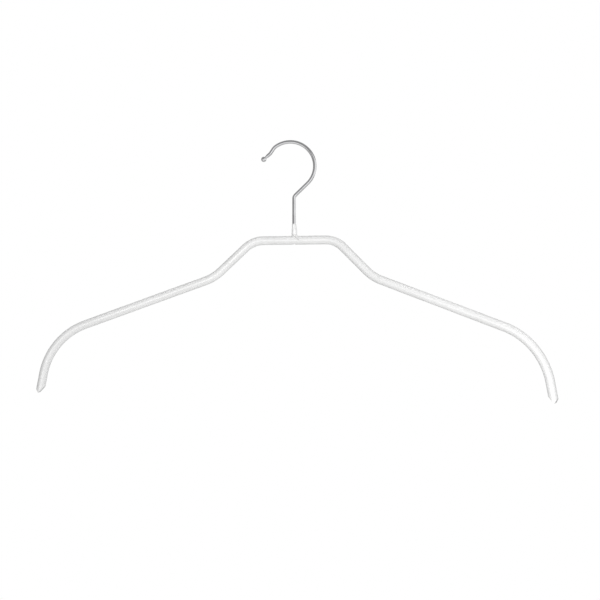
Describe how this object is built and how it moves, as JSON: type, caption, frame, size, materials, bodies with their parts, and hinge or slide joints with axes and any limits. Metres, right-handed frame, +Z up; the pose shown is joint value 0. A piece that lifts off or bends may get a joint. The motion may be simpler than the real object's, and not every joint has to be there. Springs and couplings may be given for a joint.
{
  "type": "clothes hanger",
  "caption": "Bent steel rod hanger with a white non-slip dipped coating, forward-swept shoulders with turned-down ends, and a chromed wire hook that swivels and ends in a ball.",
  "frame": {"origin": "the rail seat: the point where the hook's swivel axis meets the inside of its crown", "axes": "+X along the bridge, with the hook's mouth open to -X; +Y to the back, away from the swept-forward shoulders; +Z up along the hook's stem"},
  "size_m": [0.4206, 0.04, 0.2046],
  "materials": {
    "coating": "satin",
    "hook_chrome": "polished",
    "rod_steel": "bright drawn",
    "bush_steel": "turned",
    "washer_steel": "plated"
  },
  "bodies": {
    "hook": {"swivel_hook": "hook_chrome"},
    "shoulders": {"shoulder_rod": "rod_steel", "grip_coating": "coating", "neck_bush": "bush_steel", "rivet_washer": "washer_steel"}
  },
  "joints": [
    {"name": "hook_swivel", "type": "hinge", "parent": "hook", "child": "shoulders", "pos_m": [0, 0, -0.0655], "axis": [0, 0, 1], "continuous": true}
  ]
}
